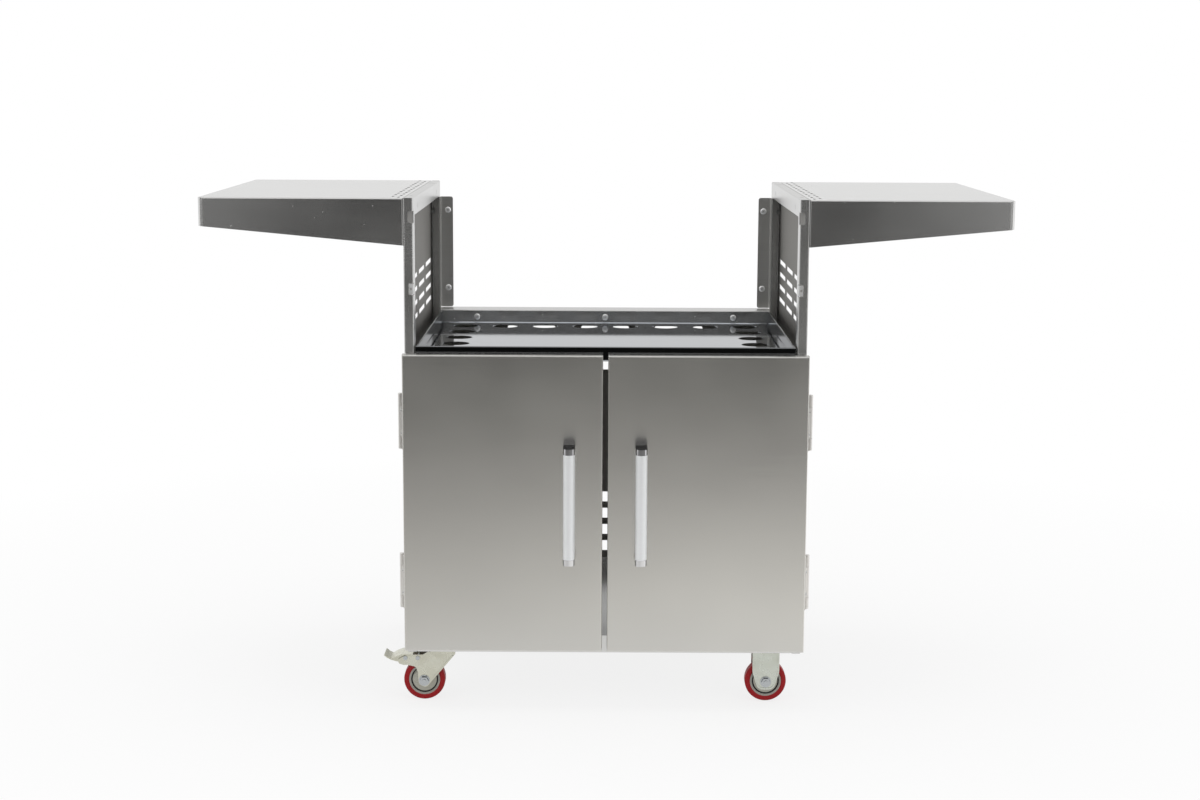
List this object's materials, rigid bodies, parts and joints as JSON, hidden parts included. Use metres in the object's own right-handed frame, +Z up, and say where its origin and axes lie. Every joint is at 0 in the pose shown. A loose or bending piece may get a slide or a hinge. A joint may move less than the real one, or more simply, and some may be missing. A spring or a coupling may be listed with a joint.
{
  "type": "grill cart",
  "caption": "Freestanding stainless cart for a drop-in grill: cabinet with two hinged doors, perforated heat tray, side shelves and casters.",
  "frame": {"origin": "centre of the bounding box on the floor under the wheels", "axes": "+X to the right along the cart's width, +Y from the doors to the back, +Z up"},
  "size_m": [1.414, 0.655, 0.914],
  "materials": {
    "cabinet_steel": "fine brushed stainless sheet",
    "door_steel": "fine brushed stainless sheet",
    "tray_steel": "bright annealed stainless, near mirror",
    "inner_steel": "mill finish stainless",
    "handle_satin": "satin ground tube",
    "handle_polish": "polished",
    "tread": "red polyurethane, satin",
    "hub_plastic": "moulded grey plastic",
    "zinc": "passivated zinc plate over stamped steel",
    "catch_plastic": "moulded",
    "bright_fasteners": "bright plated or stainless"
  },
  "bodies": {
    "cabinet": {"left_side_panel": "cabinet_steel", "right_side_panel": "cabinet_steel", "back_panel": "cabinet_steel", "bottom_panel": "cabinet_steel", "heat_tray": "tray_steel", "tray_walls": "tray_steel", "tray_rails": "inner_steel", "rear_tray_rail": "inner_steel", "left_shelf": "cabinet_steel", "right_shelf": "cabinet_steel", "shelf_braces": "inner_steel", "shelf_bolts": "bright_fasteners", "rear_brackets": "inner_steel", "pan_head_screws": "bright_fasteners", "clip_nuts": "bright_fasteners", "door_catches": "catch_plastic", "cabinet_screws": "bright_fasteners", "left_hinge_frame_leaves": "bright_fasteners", "right_hinge_frame_leaves": "bright_fasteners", "hinge_pins": "bright_fasteners", "swivel_plates": "zinc", "swivel_kingpins": "zinc", "swivel_balls": "bright_fasteners", "caster_bolts": "bright_fasteners", "rigid_forks": "zinc", "rigid_axles": "bright_fasteners"},
    "left_door": {"left_door_skin": "door_steel", "left_door_liner": "door_steel", "left_hinge_door_leaves": "bright_fasteners", "left_handle_bar": "handle_satin", "left_handle_posts": "handle_polish", "left_door_screws": "bright_fasteners", "left_strike_plate": "zinc"},
    "right_door": {"right_door_skin": "door_steel", "right_door_liner": "door_steel", "right_hinge_door_leaves": "bright_fasteners", "right_handle_bar": "handle_satin", "right_handle_posts": "handle_polish", "right_door_screws": "bright_fasteners", "right_strike_plate": "zinc"},
    "front_left_swivel": {"front_left_fork": "zinc", "front_left_axle": "bright_fasteners", "front_left_brake_gear": "bright_fasteners"},
    "front_left_brake_pedal": {"front_left_pedal": "zinc"},
    "front_left_wheel": {"front_left_tread": "tread", "front_left_hub": "hub_plastic", "front_left_wheel_covers": "zinc"},
    "front_right_wheel": {"front_right_tread": "tread", "front_right_hub": "hub_plastic", "front_right_wheel_covers": "zinc"},
    "rear_left_swivel": {"rear_left_fork": "zinc", "rear_left_axle": "bright_fasteners", "rear_left_brake_gear": "bright_fasteners"},
    "rear_left_brake_pedal": {"rear_left_pedal": "zinc"},
    "rear_left_wheel": {"rear_left_tread": "tread", "rear_left_hub": "hub_plastic", "rear_left_wheel_covers": "zinc"},
    "rear_right_wheel": {"rear_right_tread": "tread", "rear_right_hub": "hub_plastic", "rear_right_wheel_covers": "zinc"}
  },
  "joints": [
    {"name": "left_door_hinge", "type": "hinge", "parent": "cabinet", "child": "left_door", "pos_m": [-0.3595, -0.2615, 0.378], "axis": [0, 0, -1], "range_deg": [0, 180]},
    {"name": "right_door_hinge", "type": "hinge", "parent": "cabinet", "child": "right_door", "pos_m": [0.3595, -0.2615, 0.378], "axis": [0, 0, 1], "range_deg": [0, 180]},
    {"name": "front_left_swivel_turn", "type": "hinge", "parent": "cabinet", "child": "front_left_swivel", "pos_m": [-0.294, -0.1984, 0.096], "axis": [0, 0, 1], "continuous": true},
    {"name": "front_left_wheel_spin", "type": "hinge", "parent": "front_left_swivel", "child": "front_left_wheel", "pos_m": [-0.3265, -0.1984, 0.0375], "axis": [0, 1, 0], "continuous": true},
    {"name": "front_left_pedal_press", "type": "hinge", "parent": "front_left_swivel", "child": "front_left_brake_pedal", "pos_m": [-0.3605, -0.1984, 0.0795], "axis": [0, -1, 0], "range_deg": [0, 12]},
    {"name": "front_right_wheel_spin", "type": "hinge", "parent": "cabinet", "child": "front_right_wheel", "pos_m": [0.294, -0.1984, 0.0375], "axis": [0, 1, 0], "continuous": true},
    {"name": "rear_left_swivel_turn", "type": "hinge", "parent": "cabinet", "child": "rear_left_swivel", "pos_m": [-0.294, 0.266, 0.096], "axis": [0, 0, 1], "continuous": true},
    {"name": "rear_left_wheel_spin", "type": "hinge", "parent": "rear_left_swivel", "child": "rear_left_wheel", "pos_m": [-0.3265, 0.266, 0.0375], "axis": [0, 1, 0], "continuous": true},
    {"name": "rear_left_pedal_press", "type": "hinge", "parent": "rear_left_swivel", "child": "rear_left_brake_pedal", "pos_m": [-0.3605, 0.266, 0.0795], "axis": [0, -1, 0], "range_deg": [0, 12]},
    {"name": "rear_right_wheel_spin", "type": "hinge", "parent": "cabinet", "child": "rear_right_wheel", "pos_m": [0.294, 0.266, 0.0375], "axis": [0, 1, 0], "continuous": true}
  ]
}
